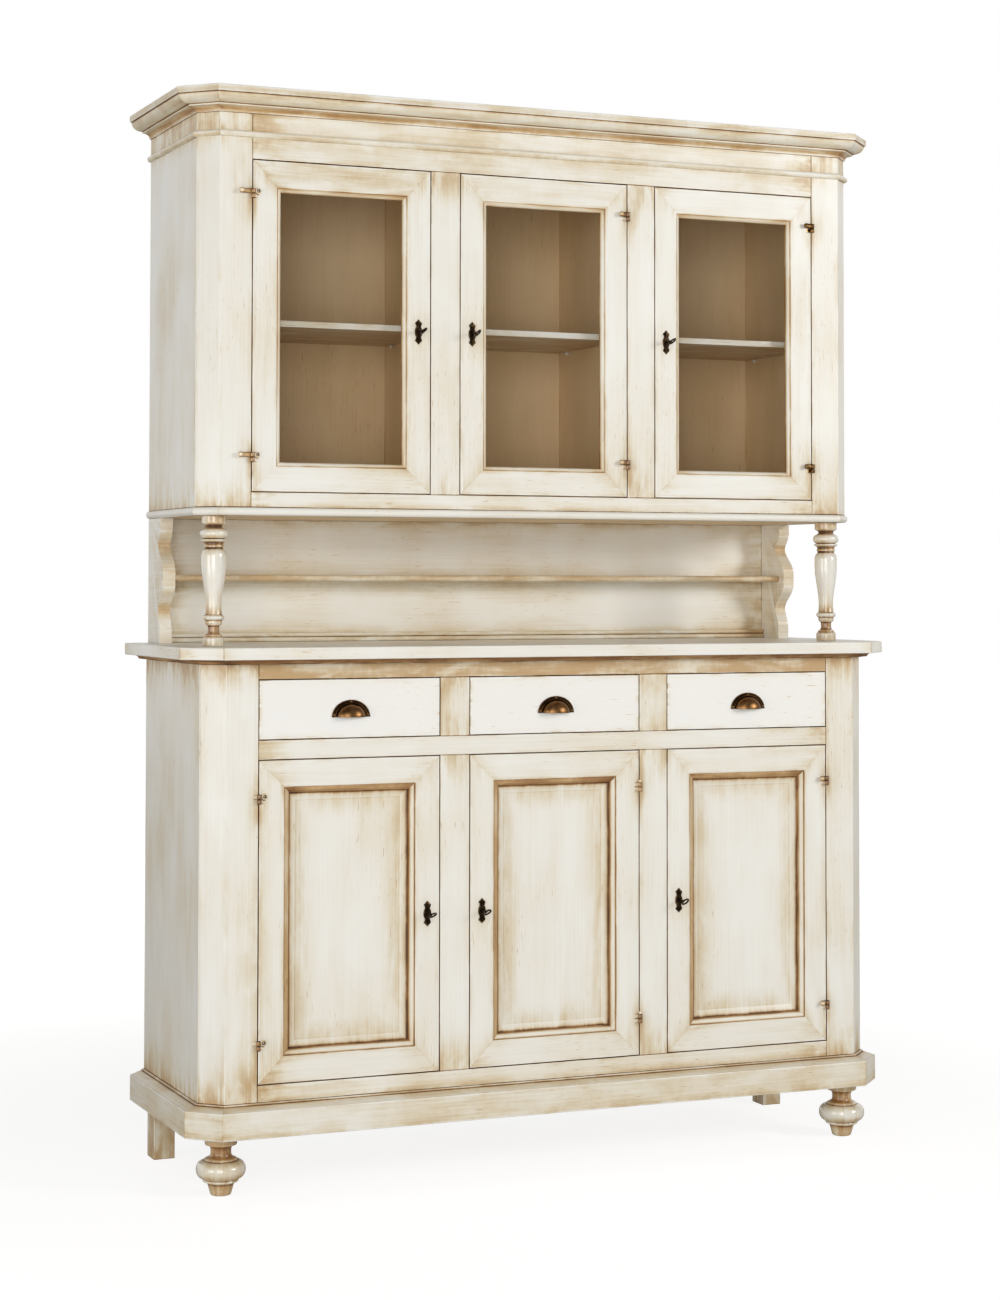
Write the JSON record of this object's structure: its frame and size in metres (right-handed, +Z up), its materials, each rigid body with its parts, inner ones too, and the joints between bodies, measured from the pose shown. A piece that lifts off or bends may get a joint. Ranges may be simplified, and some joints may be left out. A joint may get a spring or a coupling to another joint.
{
  "type": "china cabinet",
  "caption": "Country china cabinet: glazed hutch on turned posts over an open niche, counter, drawers and panelled doors, with canted corners, crown moulding and bun feet.",
  "frame": {"origin": "on the floor, at the middle of the rectangle that holds the cabinet's footprint", "axes": "+X to the right for someone facing the doors, +Y towards the wall behind, +Z up; the doors face -Y"},
  "size_m": [1.53, 0.4646, 2.0998],
  "materials": {
    "cream_paint": "satin cream paint, glazed brown in corners and rubbed on edges",
    "dark_bronze": "dark bronze patina",
    "window_glass": "clear sheet glass"
  },
  "bodies": {
    "case": {"base_back": "cream_paint", "base_corner_left": "cream_paint", "base_corner_right": "cream_paint", "base_divider_left": "cream_paint", "base_divider_right": "cream_paint", "base_floor": "cream_paint", "base_side_left": "cream_paint", "base_side_right": "cream_paint", "base_top_rail": "cream_paint", "cornice": "cream_paint", "counter_top": "cream_paint", "drawer_rail": "cream_paint", "foot_front_left": "cream_paint", "foot_front_right": "cream_paint", "foot_rear_left": "cream_paint", "foot_rear_right": "cream_paint", "hutch_back": "cream_paint", "hutch_corner_left": "cream_paint", "hutch_corner_right": "cream_paint", "hutch_divider_left": "cream_paint", "hutch_divider_right": "cream_paint", "hutch_floor": "cream_paint", "hutch_frieze": "cream_paint", "hutch_shelf_left": "cream_paint", "hutch_shelf_middle": "cream_paint", "hutch_shelf_right": "cream_paint", "hutch_side_left": "cream_paint", "hutch_side_right": "cream_paint", "niche_cheek_left": "cream_paint", "niche_cheek_right": "cream_paint", "niche_post_left": "cream_paint", "niche_post_right": "cream_paint", "plate_rail": "cream_paint", "plinth": "cream_paint"},
    "glazed_door_left": {"glazed_door_left": "cream_paint", "door_glass_left": "window_glass"},
    "glazed_door_middle": {"glazed_door_middle": "cream_paint", "door_glass_middle": "window_glass"},
    "glazed_door_right": {"glazed_door_right": "cream_paint", "door_glass_right": "window_glass"},
    "panelled_door_left": {"panelled_door_left": "cream_paint", "door_panel_left": "cream_paint"},
    "panelled_door_middle": {"panelled_door_middle": "cream_paint", "door_panel_middle": "cream_paint"},
    "panelled_door_right": {"panelled_door_right": "cream_paint", "door_panel_right": "cream_paint"},
    "drawer_left": {"drawer_left": "cream_paint", "cup_pull_left": "dark_bronze"},
    "drawer_middle": {"drawer_middle": "cream_paint", "cup_pull_middle": "dark_bronze"},
    "drawer_right": {"drawer_right": "cream_paint", "cup_pull_right": "dark_bronze"},
    "glazed_key_left": {"glazed_key_left": "dark_bronze"},
    "glazed_key_middle": {"glazed_key_middle": "dark_bronze"},
    "glazed_key_right": {"glazed_key_right": "dark_bronze"},
    "panelled_key_left": {"panelled_key_left": "dark_bronze"},
    "panelled_key_middle": {"panelled_key_middle": "dark_bronze"},
    "panelled_key_right": {"panelled_key_right": "dark_bronze"}
  },
  "joints": [
    {"name": "glazed_door_left_swing", "type": "hinge", "parent": "case", "child": "glazed_door_left", "pos_m": [-0.6157, -0.13805, 1.3252], "axis": [0, 0, -1], "range_deg": [0, 165]},
    {"name": "glazed_door_middle_swing", "type": "hinge", "parent": "case", "child": "glazed_door_middle", "pos_m": [0.1842, -0.13805, 1.3252], "axis": [0, 0, 1], "range_deg": [0, 105]},
    {"name": "glazed_door_right_swing", "type": "hinge", "parent": "case", "child": "glazed_door_right", "pos_m": [0.6157, -0.13805, 1.3252], "axis": [0, 0, 1], "range_deg": [0, 165]},
    {"name": "panelled_door_left_swing", "type": "hinge", "parent": "case", "child": "panelled_door_left", "pos_m": [-0.6157, -0.19205, 0.2055], "axis": [0, 0, -1], "range_deg": [0, 165]},
    {"name": "panelled_door_middle_swing", "type": "hinge", "parent": "case", "child": "panelled_door_middle", "pos_m": [0.1842, -0.19205, 0.2055], "axis": [0, 0, 1], "range_deg": [0, 105]},
    {"name": "panelled_door_right_swing", "type": "hinge", "parent": "case", "child": "panelled_door_right", "pos_m": [0.6157, -0.19205, 0.2055], "axis": [0, 0, 1], "range_deg": [0, 165]},
    {"name": "drawer_left_slide", "type": "slide", "parent": "case", "child": "drawer_left", "axis": [0, -1, 0], "range_m": [0, 0.3]},
    {"name": "drawer_middle_slide", "type": "slide", "parent": "case", "child": "drawer_middle", "axis": [0, -1, 0], "range_m": [0, 0.3]},
    {"name": "drawer_right_slide", "type": "slide", "parent": "case", "child": "drawer_right", "axis": [0, -1, 0], "range_m": [0, 0.3]},
    {"name": "glazed_key_left_turn", "type": "hinge", "parent": "glazed_door_left", "child": "glazed_key_left", "pos_m": [-0.2731, -0.13375, 1.646], "axis": [0, 1, 0], "range_deg": [0, 90]},
    {"name": "glazed_key_middle_turn", "type": "hinge", "parent": "glazed_door_middle", "child": "glazed_key_middle", "pos_m": [-0.1584, -0.13375, 1.646], "axis": [0, -1, 0], "range_deg": [0, 90]},
    {"name": "glazed_key_right_turn", "type": "hinge", "parent": "glazed_door_right", "child": "glazed_key_right", "pos_m": [0.2731, -0.13375, 1.646], "axis": [0, -1, 0], "range_deg": [0, 90]},
    {"name": "panelled_key_left_turn", "type": "hinge", "parent": "panelled_door_left", "child": "panelled_key_left", "pos_m": [-0.2731, -0.18775, 0.51125], "axis": [0, 1, 0], "range_deg": [0, 90]},
    {"name": "panelled_key_middle_turn", "type": "hinge", "parent": "panelled_door_middle", "child": "panelled_key_middle", "pos_m": [-0.1584, -0.18775, 0.51125], "axis": [0, -1, 0], "range_deg": [0, 90]},
    {"name": "panelled_key_right_turn", "type": "hinge", "parent": "panelled_door_right", "child": "panelled_key_right", "pos_m": [0.2731, -0.18775, 0.51125], "axis": [0, -1, 0], "range_deg": [0, 90]}
  ]
}
